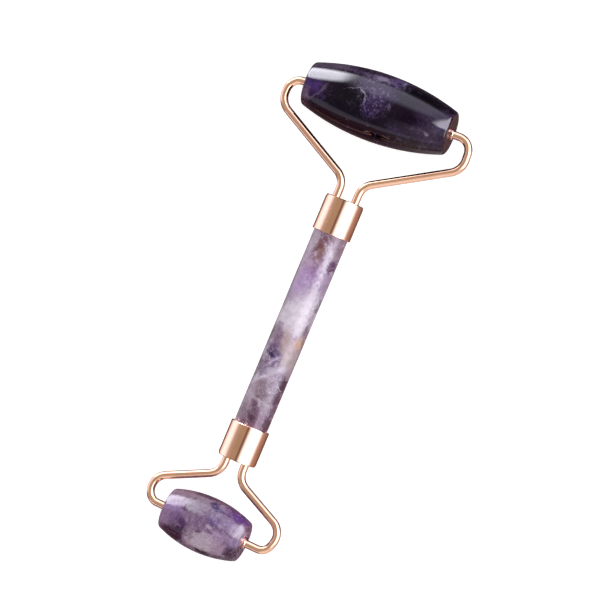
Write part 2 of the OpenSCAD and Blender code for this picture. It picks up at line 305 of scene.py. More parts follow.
def handle_stone():
    """Lavender and white quartz with plum, indigo and tan patches, and painted highlight and painted shade along
    the reflected stripe.
    """
    zones = [
        # white cloud near the middle, and a painted highlight along the reflected stripe
        (-5.5, 4, 6.8, 11.0, 0, 0.3, 0.95, colour(218, 204, 219)),
        (-6.0, 24, 5.0, 2.0, 0, 0.5, 0.5, colour(228, 216, 232)),
        # painted highlight: a pale band along the reflected stripe, stronger towards the large roller
        (-17.0, 38, 7.8, 1.9, 0, 0.5, 0.75, colour(206, 192, 212)),
        # its shaded edges
        (-5.0, 70, 3.4, 1.2, 0, 0.5, 0.85, colour(168, 148, 170)),
        (-9.0, 76, 2.2, 1.4, 0, 0.5, 0.85, colour(128, 108, 130)),
        (-9.0, -54, 3.0, 1.2, 0, 0.5, 0.7, colour(146, 126, 146)),
        (-0.8, 72, 1.7, 1.6, 0, 0.5, 0.9, colour(132, 108, 126)),
        # lavender and purple towards the large roller
        (-10.5, -30, 2.6, 3.0, 0, 0.5, 0.75, colour(172, 148, 182)),
        (-13.0, -30, 2.4, 2.6, 0, 0.5, 0.85, colour(188, 156, 202)),
        (-17.4, -16, 4.6, 3.6, 8, 0.4, 0.9, colour(178, 142, 190)),
        (-18.0, -44, 6.0, 1.1, 0, 0.5, 0.7, colour(190, 168, 194)),
        (-13.6, -4, 2.6, 1.2, 20, 0.5, 0.7, colour(184, 160, 200)),
        (-17.6, 2, 2.2, 1.4, 0, 0.5, 0.85, colour(152, 118, 160)),
        (-21.0, 6, 2.2, 1.3, 0, 0.5, 0.8, colour(142, 106, 132)),
        (-16.0, 64, 4.0, 2.2, 0, 0.4, 0.85, colour(162, 138, 168)),
        (-21.0, 64, 1.9, 1.9, 0, 0.4, 0.95, colour(100, 64, 100)),
        # brown-plum spot by the large ferrule
        (-21.0, -24, 2.4, 2.4, 0, 0.5, 0.8, colour(184, 158, 182)),
        (-25.6, -7, 3.0, 1.6, -16, 0.4, 0.98, colour(122, 80, 88)),
        (-23.2, 4, 2.6, 0.9, -16, 0.5, 0.85, colour(136, 92, 90)),
        (-27.0, -38, 3.4, 1.8, 0, 0.5, 0.7, colour(178, 156, 174)),
        (-26.0, 66, 3.0, 2.2, 0, 0.5, 0.7, colour(152, 126, 142)),
        (-27.8, 6, 1.4, 2.0, 0, 0.5, 0.7, colour(118, 84, 98)),
        # beige and tan
        (3.4, 12, 3.6, 1.5, 18, 0.5, 0.85, colour(184, 160, 160)),
        (6.5, 40, 3.6, 2.6, 0, 0.5, 0.8, colour(186, 168, 172)),
        (8.4, 66, 3.4, 1.8, 0, 0.5, 0.85, colour(180, 162, 164)),
        (2.7, 62, 1.7, 1.6, 0, 0.8, 0.9, colour(214, 172, 152)),
        (2.2, 78, 1.4, 0.9, 0, 0.5, 0.8, colour(150, 120, 104)),
        # mauve and indigo
        (2.6, -24, 3.4, 1.5, 6, 0.45, 0.9, colour(128, 98, 122)),
        (1.8, -40, 3.0, 1.0, 0, 0.5, 0.7, colour(150, 126, 142)),
        (7.4, -16, 2.6, 2.2, 0, 0.4, 0.95, colour(100, 74, 106)),
        (7.8, -14, 1.5, 1.3, 0, 0.4, 1.0, colour(64, 44, 84)),
        (7.6, 2, 2.4, 0.8, 30, 0.5, 0.85, colour(104, 80, 118)),
        (12.0, -30, 2.6, 2.0, 20, 0.4, 0.9, colour(118, 92, 124)),
        (12.6, -52, 3.4, 1.4, 0, 0.5, 0.8, colour(116, 98, 110)),
        (2.6, -56, 2.4, 1.0, 0, 0.5, 0.8, colour(122, 104, 114)),
        (10.6, 4, 1.7, 1.0, 0, 0.5, 0.85, colour(112, 88, 122)),
        (14.5, -2, 1.8, 1.4, 30, 0.5, 0.5, colour(140, 118, 142)),
        # grey and plum towards the small ferrule
        (18.6, -6, 3.6, 3.0, 0, 0.4, 0.9, colour(136, 114, 128)),
        (21.4, -34, 3.2, 1.6, 0, 0.5, 0.7, colour(160, 142, 152)),
        (25.6, -8, 4.4, 3.2, 0, 0.3, 0.95, colour(108, 78, 98)),
        (21.6, -34, 5.4, 1.5, 0, 0.5, 0.6, colour(190, 168, 182)),
        (27.2, 4, 2.2, 1.6, 0, 0.4, 0.9, colour(86, 58, 76)),
        (26.0, -42, 3.6, 1.2, 0, 0.5, 0.8, colour(134, 108, 124)),
        # dark plum on the right-hand side
        (15.4, 66, 2.6, 2.2, 0, 0.35, 0.95, colour(82, 54, 68)),
        (19.2, 64, 2.4, 2.1, 0, 0.35, 0.95, colour(98, 66, 86)),
        (23.2, 72, 2.0, 1.4, 0, 0.4, 0.8, colour(114, 86, 104)),
        (27.2, 66, 2.8, 2.4, 0, 0.35, 0.95, colour(88, 58, 74)),
        # painted shade along the front towards the small roller, dimming the reflected stripe there
        (27.2, 34, 3.0, 1.7, 0, 0.4, 0.9, colour(112, 82, 106)),
        (21.8, 34, 3.6, 1.6, 0, 0.5, 0.85, colour(132, 112, 130)),
        (15.6, 38, 3.4, 1.5, 0, 0.5, 0.85, colour(136, 118, 138)),
        # diagonal pale veins
        (15.0, -20, 5.6, 0.5, 128, 0.8, 0.9, colour(206, 194, 210)),
        (11.8, 18, 3.0, 0.9, 112, 0.7, 0.8, colour(198, 184, 204)),
        (9.4, -2, 3.0, 0.36, 140, 0.8, 0.8, colour(188, 170, 202)),
        (21.4, 6, 4.2, 0.45, 84, 0.8, 0.6, colour(182, 168, 184)),
    ]
    mottle = {
        "size": 9.0, "grain": 1.3, "depth": 0.16, "edge": 2.6, "ragged": 2.2,
        "stops": [
            (0.30, colour(96, 68, 90)), (0.42, colour(140, 116, 138)),
            (0.54, colour(172, 152, 176)), (0.68, colour(212, 198, 216)),
        ],
    }
    mist = [
        (9.5, -4, 5.0, 3.4, 1.1, 0.75, colour(198, 182, 206)),
        (24.0, 0, 5.0, 4.0, 1.2, 0.4, colour(170, 146, 164)),
        (-15.0, -8, 5.0, 4.0, 1.0, 0.6, colour(200, 180, 216)),
    ]
    wisps = {"size": 1.8, "tilt": 38, "strength": 0.2, "tint": colour(220, 208, 226)}
    vein = {"size": 6.0, "width": 0.016, "strength": 0.45, "tint": colour(220, 208, 226)}
    specks = {"spacing": 1.3, "size": 0.2, "strength": 0.2, "tint": colour(228, 220, 234)}
    polish = {"rough": (0.155, 0.18), "level": 0.215}
    radius = 5.0
    return stone_material("handle_amethyst", radius, mottle, zones, mist, wisps, vein, specks, polish)


def large_roller_stone():
    """Near-black amethyst with violet zones, a pale cloud, thin veins and a painted reflection at the upper left.
    """
    zones = [
        # violet towards the left end
        (-18.6, -6, 4.2, 4.0, 0, 0.4, 0.95, colour(54, 34, 76)),
        (-19.0, -4, 2.0, 1.6, 0, 0.5, 0.8, colour(72, 46, 112)),
        (-20.6, -40, 1.8, 5.6, 12, 0.5, 0.9, colour(108, 84, 108)),
        # near-black to the left of the middle
        (-13.5, 2, 2.0, 3.0, 0, 0.5, 0.5, colour(30, 20, 40)),
        (-7.4, -10, 5.6, 4.6, 0, 0.3, 0.9, colour(15, 8, 26)),
        # violet cloud in the middle, and the paler patches above it
        (0.2, 4, 3.0, 4.6, -15, 0.35, 0.9, colour(46, 32, 66)),
        (-0.8, 12, 1.6, 2.0, 0, 0.5, 0.7, colour(62, 48, 86)),
        (3.6, 20, 2.4, 2.6, 0, 0.6, 0.7, colour(52, 40, 70)),
        (-1.5, 30, 4.6, 3.2, -8, 0.5, 0.8, colour(66, 54, 80)),
        (-0.8, 52, 2.2, 1.1, 0, 0.5, 0.9, colour(146, 134, 164)),
        (-4.6, 51, 2.0, 0.9, 0, 0.6, 0.7, colour(98, 84, 112)),
        (4.0, 58, 2.4, 2.4, 30, 0.4, 0.9, colour(82, 64, 106)),
        (5.8, 60, 0.4, 2.0, 14, 0.8, 0.8, colour(138, 126, 160)),
        (-12.0, 54, 7.0, 1.4, 0, 0.5, 0.7, colour(54, 38, 66)),
        # near-black at the upper right, and the right-hand end
        (13.5, 55, 7.6, 3.6, 0, 0.25, 0.98, colour(11, 6, 16)),
        (19.6, 44, 1.8, 1.6, 0, 0.5, 0.6, colour(56, 42, 64)),
        (10.0, 2, 6.0, 3.4, 0, 0.4, 0.8, colour(26, 15, 34)),
        (17.0, -22, 4.0, 3.2, 0, 0.5, 0.7, colour(54, 38, 60)),
        (14.6, 8, 3.0, 0.9, 0, 0.6, 0.6, colour(52, 38, 60)),
        # wine red along the lower edge
        (0.0, -56, 24.0, 3.4, 0, 0.3, 0.9, colour(36, 14, 25)),
        (14.0, -48, 8.0, 2.4, 0, 0.5, 0.7, colour(28, 14, 28)),
        # painted reflection of a pale floor: lilac at the upper left
        (-17.5, 58, 7.0, 2.6, 0, 0.5, 0.85, colour(92, 78, 98)),
        # wine red round both rims
        (22.2, 0, 0.9, 60.0, 0, 0.3, 0.95, colour(58, 24, 36)),
        (-22.2, 0, 0.9, 60.0, 0, 0.3, 0.7, colour(58, 24, 44)),
        # dark spot and a duller patch low down
        (3.6, -58, 2.2, 1.4, 0, 0.4, 0.8, colour(14, 6, 12)),
        (19.0, -44, 3.4, 4.0, 0, 0.5, 0.5, colour(48, 30, 52)),
        # thin veins
        (-3.6, 12, 1.7, 0.2, -30, 1.0, 0.9, colour(150, 142, 170)),
        (-2.6, 3, 1.1, 0.22, -80, 1.0, 0.8, colour(140, 130, 162)),
        (-1.9, -9, 1.5, 0.18, -64, 1.0, 0.6, colour(112, 98, 142)),
        (-5.8, 17, 2.4, 0.13, 20, 1.0, 0.7, colour(134, 126, 148)),
        (4.4, 4, 1.0, 0.3, -80, 1.0, 0.7, colour(104, 92, 122)),
        (-15.2, -3, 2.0, 0.3, 70, 1.0, 0.55, colour(112, 96, 126)),
        (-17.0, -22, 3.4, 0.24, 56, 1.0, 0.5, colour(104, 84, 116)),
        (-14.8, 60, 1.6, 0.14, -40, 1.0, 0.5, colour(120, 106, 130)),
        (18.6, 22, 3.4, 0.2, 24, 1.0, 0.6, colour(26, 18, 34)),
        (16.4, -21, 0.6, 0.35, 0, 0.8, 0.8, colour(134, 122, 142)),
        (15.0, -17, 2.6, 0.2, 6, 1.0, 0.6, colour(92, 76, 98)),
    ]
    mottle = {
        "size": 12.0, "grain": 1.4, "depth": 0.3, "edge": 3.0, "ragged": 2.6,
        "stops": [
            (0.36, colour(12, 7, 20)), (0.50, colour(24, 14, 32)),
            (0.60, colour(42, 28, 56)), (0.72, colour(74, 58, 92)),
        ],
    }
    mist = [
        (-1.0, 34, 6.0, 4.6, 0.9, 0.6, colour(132, 122, 148)),
        (0.4, 4, 3.0, 4.4, 0.8, 0.85, colour(122, 104, 148)),
        (-3.0, 54, 6.0, 2.0, 0.8, 0.7, colour(140, 124, 154)),
        (4.0, 58, 3.0, 2.6, 0.8, 0.6, colour(120, 104, 146)),
        (-17.0, -10, 4.0, 4.6, 0.9, 0.5, colour(92, 72, 116)),
        (17.0, -12, 4.0, 4.6, 0.8, 0.5, colour(96, 82, 106)),
    ]
    wisps = {"size": 1.5, "tilt": 15, "strength": 0.14, "tint": colour(96, 82, 112)}
    vein = {"size": 8.0, "width": 0.011, "strength": 0.35, "tint": colour(116, 102, 138)}
    specks = {"spacing": 1.5, "size": 0.17, "strength": 0.5, "tint": colour(138, 126, 152)}
    polish = {"rough": (0.05, 0.09), "level": 0.215}
    radius = 9.8
    return stone_material("dark_amethyst", radius, mottle, zones, mist, wisps, vein, specks, polish)


def small_roller_stone():
    """Mottled amethyst: violet, grey-lavender, plum, and a pale swirl, with painted highlight beside its shine."""
    zones = [
        # grey-lavender across the upper front, with painted highlight beside the shine at both ends
        (-2.4, 38, 2.8, 3.6, 0, 0.4, 0.9, colour(150, 136, 154)),
        # painted highlight: the left-hand shine carried further up and to the right, the right-hand one further
        # left
        (-7.5, 56, 4.5, 1.7, 0, 0.5, 0.8, colour(152, 132, 152)),
        (-4.7, 33, 1.7, 2.0, 0, 0.6, 0.8, colour(176, 164, 182)),
        (7.9, 34, 2.0, 2.0, 0, 0.6, 0.8, colour(156, 132, 174)),
        # more grey-lavender
        (-1.4, -12, 1.7, 2.4, 0, 0.5, 0.8, colour(142, 116, 142)),
        (4.6, 30, 4.2, 2.0, 8, 0.5, 0.8, colour(130, 114, 144)),
        # violet and plum at the left end
        (-9.4, 9, 3.4, 2.0, 0, 0.5, 0.9, colour(158, 130, 176)),
        (-10.4, -12, 1.8, 1.8, 0, 0.5, 0.7, colour(136, 104, 136)),
        (-7.2, -6, 3.0, 2.0, 0, 0.45, 0.9, colour(120, 90, 132)),
        (-5.0, -10, 1.8, 1.6, -10, 0.4, 0.9, colour(78, 52, 90)),
        (-10.8, -44, 1.4, 3.0, 0, 0.5, 0.85, colour(158, 122, 150)),
        (-6.5, -46, 3.7, 3.2, 0, 0.3, 1.0, colour(66, 34, 57)),
        (-9.6, -52, 1.6, 2.0, 0, 0.5, 0.7, colour(80, 50, 68)),
        (-4.8, -30, 1.8, 1.2, 0, 0.4, 0.9, colour(58, 34, 60)),
        # indigo and violet at the upper right
        (1.4, 54, 1.5, 1.7, 0, 0.5, 0.95, colour(78, 58, 96)),
        (2.9, 48, 2.0, 1.0, -8, 0.5, 0.95, colour(74, 62, 108)),
        (4.4, 58, 1.6, 0.9, 0, 0.5, 0.8, colour(146, 126, 160)),
        (5.8, 66, 1.6, 1.4, 0, 0.5, 0.8, colour(98, 74, 120)),
        (8.6, 62, 3.0, 2.4, 0, 0.4, 0.95, colour(102, 64, 132)),
        (7.0, 68, 1.2, 1.0, 0, 0.5, 0.8, colour(80, 48, 96)),
        (8.6, 58, 1.8, 1.0, 0, 0.5, 0.8, colour(96, 56, 136)),
        # far upper edge
        (-3.0, 75, 8.0, 1.2, 0, 0.4, 0.9, colour(96, 66, 88)),
        (-7.6, 66, 2.6, 1.7, 0, 0.5, 0.8, colour(152, 128, 148)),
        # mauve middle
        (1.6, 8, 4.0, 2.2, 0, 0.5, 0.8, colour(118, 92, 122)),
        (3.8, 18, 2.6, 1.3, 0, 0.5, 0.8, colour(104, 82, 128)),
        (3.2, 4, 1.2, 0.35, -28, 0.8, 0.8, colour(170, 156, 172)),
        (6.0, 17, 1.0, 0.4, 0, 0.8, 0.7, colour(160, 148, 166)),
        (-3.2, 8, 1.8, 1.0, 0, 0.6, 0.6, colour(132, 106, 134)),
        # pale swirl around a dark plum eye
        (3.2, -33, 4.8, 3.0, 8, 0.35, 0.95, colour(176, 156, 172)),
        (-1.6, -20, 1.7, 1.0, 15, 0.6, 0.7, colour(144, 124, 144)),
        (0.1, -36, 2.7, 0.5, 50, 0.7, 0.7, colour(188, 170, 186)),
        (-1.3, -31, 2.4, 0.3, 46, 0.8, 0.6, colour(174, 152, 172)),
        (3.2, -23, 3.0, 0.5, 0, 0.7, 0.6, colour(190, 174, 190)),
        (6.5, -38, 2.6, 0.5, -52, 0.7, 0.6, colour(184, 160, 176)),
        (2.8, -60, 2.2, 1.8, 0, 0.4, 1.0, colour(56, 34, 48)),
        (2.4, -46, 2.2, 0.5, 10, 0.7, 0.5, colour(168, 150, 162)),
        (-1.6, -48, 1.7, 2.6, 20, 0.5, 0.8, colour(160, 132, 152)),
        (3.4, -44, 4.6, 1.4, 0, 0.5, 0.7, colour(200, 180, 194)),
        (7.4, -36, 2.1, 4.4, 0, 0.5, 0.85, colour(162, 130, 156)),
        (7.8, -64, 2.0, 1.4, 0, 0.5, 0.9, colour(88, 62, 82)),
        # plum right end, and lilac near both ends
        (10.7, -46, 1.7, 4.6, 0, 0.35, 1.0, colour(74, 44, 68)),
        (10.6, -8, 1.5, 1.8, 0, 0.5, 0.8, colour(134, 112, 150)),
        (7.0, -6, 2.6, 2.0, 0, 0.6, 0.8, colour(152, 126, 158)),
        (-10.6, -22, 1.8, 2.6, 0, 0.5, 0.8, colour(146, 116, 148)),
        (7.6, 18, 1.8, 1.4, 0, 0.5, 0.7, colour(138, 116, 152)),
    ]
    mottle = {
        "size": 6.5, "grain": 0.9, "depth": 0.22, "edge": 2.2, "ragged": 2.8,
        "stops": [
            (0.32, colour(64, 36, 58)), (0.44, colour(106, 76, 108)),
            (0.54, colour(136, 110, 142)), (0.68, colour(170, 154, 176)),
        ],
    }
    mist = [
        (4.0, 16, 5.0, 4.0, 0.9, 0.6, colour(174, 160, 182)),
        (3.0, -26, 5.0, 2.6, 0.8, 0.6, colour(182, 166, 180)),
        (-8.0, -12, 4.0, 3.0, 0.8, 0.4, colour(146, 112, 150)),
        (6.0, 58, 5.0, 2.4, 0.8, 0.6, colour(150, 122, 178)),
    ]
    wisps = {"size": 1.0, "tilt": 25, "strength": 0.25, "tint": colour(180, 158, 188)}
    vein = {"size": 4.6, "width": 0.018, "strength": 0.55, "tint": colour(184, 172, 192)}
    specks = {"spacing": 1.1, "size": 0.2, "strength": 0.4, "tint": colour(186, 174, 194)}
    polish = {"rough": (0.10, 0.15), "level": 0.17}
    radius = 8.1
    return stone_material("mottled_amethyst", radius, mottle, zones, mist, wisps, vein, specks, polish)


# Metal, solder and glue

GOLD = colour(249, 205, 180)
BUSH_GOLD = colour(250, 205, 182)
GOLD_EDGE_TINT = (0.6, 0.5, 0.48, 1.0)
WORN_SHARE = 0.94
EPOXY_IOR = 1.5


def rose_gold(name, tint, lines, shine):
    """Polished rose gold plate with faint lines. lines is how much finer than 1 mm they are along
    each axis, and shine is the least and greatest roughness."""
    material, tree, shader = new_material(name)
    place = local_mm(tree)
    stretched = vector_calc(tree, "MULTIPLY", place, lines)
    streaks = noise(tree, stretched, 1.0, detail=3.0).outputs["Fac"]
    blotches = noise(tree, place, 4.0, detail=3.0).outputs["Fac"]
    worn = tuple(c * WORN_SHARE for c in tint[:3]) + (1.0,)
    bump = node(tree, "ShaderNodeBump", {"Height": streaks, "Strength": 0.08, "Distance": 0.00001})
    set_shader(tree, shader, {
        "Base Color": mix(tree, ramp_between(tree, blotches, 0.35, 0.65), worn, tint),
        "Metallic": 1.0,
        "Roughness": ramp_between(tree, streaks, 0.3, 0.7, *shine),
        "Specular Tint": GOLD_EDGE_TINT,
        "Normal": bump.outputs[0],
    })
    return material


def solder_metal():
    """Dull, lumpy grey solder."""
    material, tree, shader = new_material("dull_solder")
    crust = noise(tree, local_mm(tree), 0.6, detail=5.0, rough=0.7).outputs["Fac"]
    dark, light = colour(150, 150, 156), colour(214, 214, 218)
    bump = node(tree, "ShaderNodeBump", {"Height": crust, "Strength": 0.4, "Distance": 0.00008})
    set_shader(tree, shader, {
        "Base Color": mix(tree, ramp_between(tree, crust, 0.3, 0.7), dark, light),
        "Metallic": 1.0,
        "Roughness": ramp_between(tree, crust, 0.3, 0.7, 0.3, 0.5),
        "Normal": bump.outputs[0],
    })
    return material


def cured_epoxy():
    """Yellowish, slightly hazy glue."""
    material, tree, shader = new_material("cured_epoxy")
    haze = noise(tree, local_mm(tree), 1.5, detail=4.0).outputs["Fac"]
    deep, pale = colour(206, 194, 160), colour(232, 224, 198)
    set_shader(tree, shader, {
        "Base Color": mix(tree, ramp_between(tree, haze, 0.3, 0.7), deep, pale),
        "Roughness": ramp_between(tree, haze, 0.3, 0.7, 0.15, 0.3),
        "IOR": EPOXY_IOR,
    })
    return material


def dress_cad_nodes():
    """Gives each CAD node that stays its finish, by its slot in the record."""
    finishes = {
        "ferrule_metal": rose_gold("ferrule_rose_gold", GOLD, (1, 6, 1), (0.04, 0.08)),
        "wire_metal": rose_gold("wire_rose_gold", GOLD, (2, 2, 2), (0.0, 0.003)),
        "bush_metal": rose_gold("bush_rose_gold", BUSH_GOLD, (3, 3, 3), (0.08, 0.14)),
        "solder": solder_metal(),
        "epoxy": cured_epoxy(),
    }
    for part in frame["record"]["subparts"]:
        finish = finishes.get(part["material_slot"])
        if finish is None:
            continue
        shown = frame["nodes"][part["node"]]
        for slot in shown.material_slots:
            slot.link = "OBJECT"
            slot.material = finish


# Stone meshes. Profiles are (along, out) points in millimetres, along the axis and out from it.

ON_AXIS = 1e-6
ROLLER_STEPS = {"bow": 36, "rim": 10, "face": 6, "around": 192}
ROLLER_RIMS = {"large_stone": 1.0, "small_stone": 0.9}
RIM_ZONE = 2  # how far the CAD stone's own rim can reach from its end
BUSH_HOLE = {"radius": 1.7, "flare": 0.25, "depth": 6.5}
HANDLE_STEPS = {"rows": 80, "around": 128}
HANDLE_EDGE = 0.4
HANDLE_RIPPLE = 0.012
LEAST_TAPER = 0.15
HANDLE_END_M = 0.02  # vertices farther than this along Y, either way, are at a handle's end


def arc(centre, radius, start, end, steps):
    """Points of a profile on a circle, from one angle to the other in degrees."""
    points = []
    for step in range(steps + 1):
        angle = math.radians(start + (end - start) * step / steps)
        points.append((centre[0] + radius * math.cos(angle), centre[1] + radius * math.sin(angle)))
    return points


def ring_faces(first, second, around):
    """Faces between two rings of vertex numbers, of which one may be a single point."""
    faces = []
    for step in range(around):
        after = (step + 1) % around
        if len(first) == 1:
            faces.append((first[0], second[step], second[after]))
        elif len(second) == 1:
            faces.append((first[step], second[0], first[after]))
        else:
            faces.append((first[step], second[step], second[after], first[after]))
    return faces


def turn_outwards(mesh):
    """Turns every face of a closed mesh outwards."""
    work = bmesh.new()
    work.from_mesh(mesh)
    bmesh.ops.recalc_face_normals(work, faces=work.faces)
    work.to_mesh(mesh)
    work.free()


def lathe(name, profile, around, sharp):
    """Turns a profile round the X axis into a closed solid. The rings of the profile points whose
    numbers are in sharp are hard edges."""
    vertices, rings = [], []
    for along, out in profile:
        if out < ON_AXIS:
            rings.append([len(vertices)])
            vertices.append((along * MM, 0, 0))
            continue
        rings.append(list(range(len(vertices), len(vertices) + around)))
        for step in range(around):
            angle = 2 * math.pi * step / around
            vertices.append((along * MM, out * MM * math.sin(angle), out * MM * math.cos(angle)))
    faces = []
    for first, second in zip(rings, rings[1:]):
        faces += ring_faces(first, second, around)
    mesh = bpy.data.meshes.new(name)
    mesh.from_pydata(vertices, [], faces)
    mesh.validate()
    mesh.shade_smooth()
    hard = {frozenset((a, b)) for i in sharp for a, b in zip(rings[i], rings[i][1:] + rings[i][:1])}
    for edge in mesh.edges:
        if frozenset(edge.vertices) in hard:
            edge.use_edge_sharp = True
    turn_outwards(mesh)
    return bpy.data.objects.new(name, mesh)


def finish_piece(piece, cad_name, finish):
    """Shows a piece in place of its CAD node, on the same body, with the finish given."""
    record = frame["record"]
    body = next(b for b, names in record["behaviour"]["bodies"].items() if cad_name in names)
    bpy.context.scene.collection.objects.link(piece)
    piece.data.materials.append(finish)
    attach(piece, body)
    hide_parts(cad_name)


def axle_frame(joint):
    """The joint's axle as +X, with +Z kept towards the viewer, at the joint's point."""
    along = Vector(joint["axis"]).normalized()
    across = Vector((0, 0, 1)).cross(along)
    axes = Matrix((along, across, Vector((0, 0, 1)))).transposed().to_4x4()
    return Matrix.Translation(Vector(joint["pos_m"])) @ axes


def stone_size(cad_name, place):
    """A CAD stone's half length, belly radius and radius of its bowed side, in millimetres."""
    back = place.inverted()
    points = [back @ vertex.co for vertex in frame["nodes"][cad_name].data.vertices]
    half = max(abs(p.x) for p in points) / MM
    profile = [(abs(p.x) / MM, math.hypot(p.y, p.z) / MM) for p in points]
    belly = max(out for _, out in profile)
    along, out = max(
        (along, out) for along, out in profile if along < half - RIM_ZONE and out > belly / 2
    )
    rise = belly - out
    return half, belly, (along ** 2 + rise ** 2) / (2 * rise)


def roller_stone(name, cad_name, joint_name, finish):
    """A barrel stone with softly rounded rims and a flared blind hole in each end."""
    joint = next(j for j in frame["joints"] if j["name"] == joint_name)
    place = axle_frame(joint)
    half, belly, bow = stone_size(cad_name, place)
    rim = ROLLER_RIMS[cad_name]
    low = belly - bow
    rim_out = low + math.sqrt((bow - rim) ** 2 - (half - rim) ** 2)
    rim_turn = math.degrees(math.atan2(rim_out - low, half - rim))
    steps = ROLLER_STEPS
    right = arc((0, low), bow, 90, rim_turn, steps["bow"])
    right += arc((half - rim, rim_out), rim, rim_turn, 0, steps["rim"])[1:]

    hole = BUSH_HOLE["radius"]
    flare = BUSH_HOLE["flare"]
    floor = half - BUSH_HOLE["depth"]
    for step in range(1, steps["face"] + 1):
        right.append((half, rim_out + (hole + flare - rim_out) * step / steps["face"]))
    face_end = len(right) - 1
    right += [(half - flare, hole), (floor, hole), (floor, 0)]

    left = [(-along, out) for along, out in reversed(right[1:])]
    profile = left + right
    sharp = [len(left) + face_end + extra for extra in (0, 1, 2)]
    sharp += [len(profile) - 1 - index for index in sharp]
    piece = lathe(name, profile, steps["around"], sharp)
    piece.matrix_world = place
    finish_piece(piece, cad_name, finish)


def handle_radius(sign):
    """The CAD handle's radius in millimetres at its end towards sign times +Y."""
    vertices = frame["nodes"]["handle_rod"].data.vertices
    return max(math.hypot(v.co.x, v.co.z) for v in vertices if sign * v.co.y > HANDLE_END_M) / MM


def handle_piece(finish):
    """The handle: a slightly tapered, hand-polished rod with broken edges inside the ferrules."""
    low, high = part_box("handle_rod")
    half = (high.y - low.y) / 2 / MM
    middle = (high.y + low.y) / 2
    large = handle_radius(1)
    small = min(handle_radius(-1), large - LEAST_TAPER)
    edge = HANDLE_EDGE
    rows = HANDLE_STEPS["rows"]
    profile = [(-half, 0), (-half, large - edge), (-half + edge, large)]
    for row in range(1, rows):
        share = row / rows
        wave = HANDLE_RIPPLE * (math.sin(9.0 * share) + math.sin(23.0 * share + 1.0))
        out = large + (small - large) * share - 2 * HANDLE_RIPPLE + wave
        profile.append((-half + edge + (2 * half - 2 * edge) * share, out))
    profile += [(half - edge, small), (half, small - edge), (half, 0)]
    last = len(profile) - 1
    piece = lathe("handle_stone", profile, HANDLE_STEPS["around"], (1, 2, last - 2, last - 1))
    # Its own +X points at the small roller, so the profile starts at the large end
    piece.matrix_world = Matrix(((0, 1, 0, 0), (-1, 0, 0, middle), (0, 0, 1, 0), (0, 0, 0, 1)))
    finish_piece(piece, "handle_rod", finish)


# Light, floor and camera

KEY_TOWARDS = Vector((0.5, 0.35, 0.8)).normalized()
EVEN_LIGHT = 0.42
KEY_LIGHT = 0.95
BACKDROP_LIGHT = 1.05
WIRE_GAIN = 1.4
WIRE_KNEE = 2.2
FLOOR_REACH = 1.5
FLOOR_GAP = 0.0002
FLOOR_GREY = (0.6, 0.6, 0.6, 1)
FLOOR_GLOW = 0.72
CAMERA_TURNS = {"roll": -22.77, "pitch": 1.24, "lean": -12.59}
CAMERA_MM = (4.256, 6.887, 1000.0)
LENS_MM = 209.66
SENSOR_MM = 36


def light_round(tree, x, z):
    """What the polished metal reflects square to the handle: light by degrees from +Z to +X."""
    stops = [
        (-180, (0.16, 0.12, 0.11)), (-132, (0.26, 0.19, 0.17)), (-112, (1.35, 1.25, 1.40)),
        (-96, (1.70, 1.60, 1.85)), (-74, (1.65, 1.55, 1.75)), (-52, (0.56, 0.50, 0.46)),
        (-28, (0.46, 0.37, 0.28)), (-2, (0.46, 0.36, 0.27)), (6, (0.17, 0.11, 0.09)),
        (11, (0.24, 0.19, 0.17)), (18, (0.85, 0.88, 0.95)), (30, (2.2, 2.2, 2.3)),
        (40, (8.2, 8.2, 8.3)), (74, (8.6, 8.6, 8.7)), (84, (2.8, 2.8, 2.9)),
        (96, (1.1, 1.12, 1.25)), (110, (0.50, 0.36, 0.32)), (150, (0.38, 0.22, 0.17)),
        (166, (0.20, 0.14, 0.12)), (180, (0.16, 0.12, 0.11)),
    ]
    strongest = 12.0  # the ramp itself holds this as 1
    angle = calc(tree, "MULTIPLY", calc(tree, "ARCTAN2", x, z), math.degrees(1))
    share = calc(tree, "MULTIPLY_ADD", angle, 1 / 360, 0.5)
    ramp = node(tree, "ShaderNodeValToRGB", {0: share})
    elements = ramp.color_ramp.elements
    for degrees, light in stops:
        place = degrees / 360 + 0.5
        if place == 0:
            stop = elements[0]
        elif place == 1:
            stop = elements[-1]
        else:
            stop = elements.new(place)
        stop.color = tuple(c / strongest for c in light) + (1.0,)
    return shade(tree, ramp.outputs[0], strongest)


